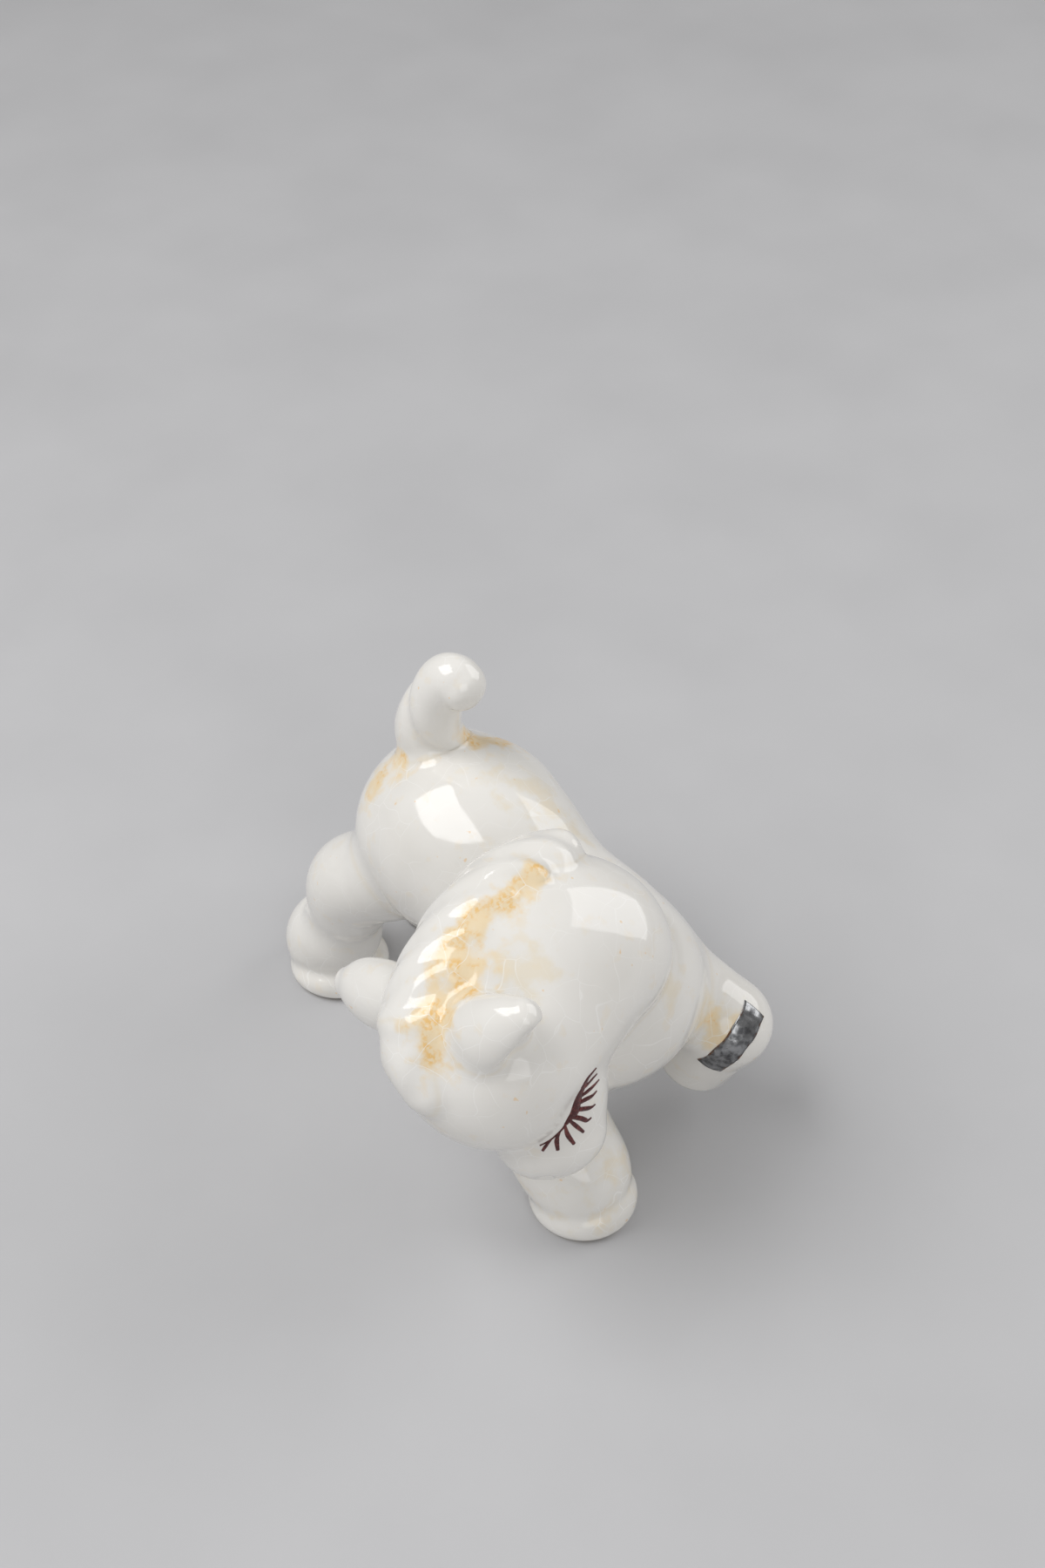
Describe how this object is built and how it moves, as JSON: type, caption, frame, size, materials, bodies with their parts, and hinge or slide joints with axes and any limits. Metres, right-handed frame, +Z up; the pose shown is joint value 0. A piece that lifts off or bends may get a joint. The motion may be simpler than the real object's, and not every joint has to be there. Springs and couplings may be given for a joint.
{
  "type": "ceramic foal figurine",
  "caption": "Glazed ceramic foal figurine with its head turned and tucked, a lifted foreleg and a curled tail; a free-standing shelf ornament.",
  "frame": {"origin": "centre of the figure's footprint box, on the surface that the hooves stand on", "axes": "+Z up, -Y the way the trunk faces, +X to the foal's left"},
  "size_m": [0.0915, 0.1166, 0.1023],
  "materials": {
    "body_casting": "gloss crackle glaze",
    "head_neck_casting": "gloss crackle glaze",
    "mane_strip": "gloss crackle glaze",
    "forelock": "gloss crackle glaze",
    "left_ear": "gloss crackle glaze",
    "right_ear": "gloss crackle glaze",
    "tail": "gloss crackle glaze",
    "right_foreleg": "gloss crackle glaze",
    "left_foreleg": "gloss crackle glaze",
    "right_hind_leg": "gloss crackle glaze",
    "left_hind_leg": "gloss crackle glaze",
    "foil_label": "worn foil"
  },
  "bodies": {
    "root": {"body_casting": "body_casting", "head_neck_casting": "head_neck_casting", "mane_strip": "mane_strip", "forelock": "forelock", "left_ear": "left_ear", "right_ear": "right_ear", "tail": "tail", "right_foreleg": "right_foreleg", "left_foreleg": "left_foreleg", "right_hind_leg": "right_hind_leg", "left_hind_leg": "left_hind_leg", "foil_label": "foil_label"}
  },
  "joints": []
}
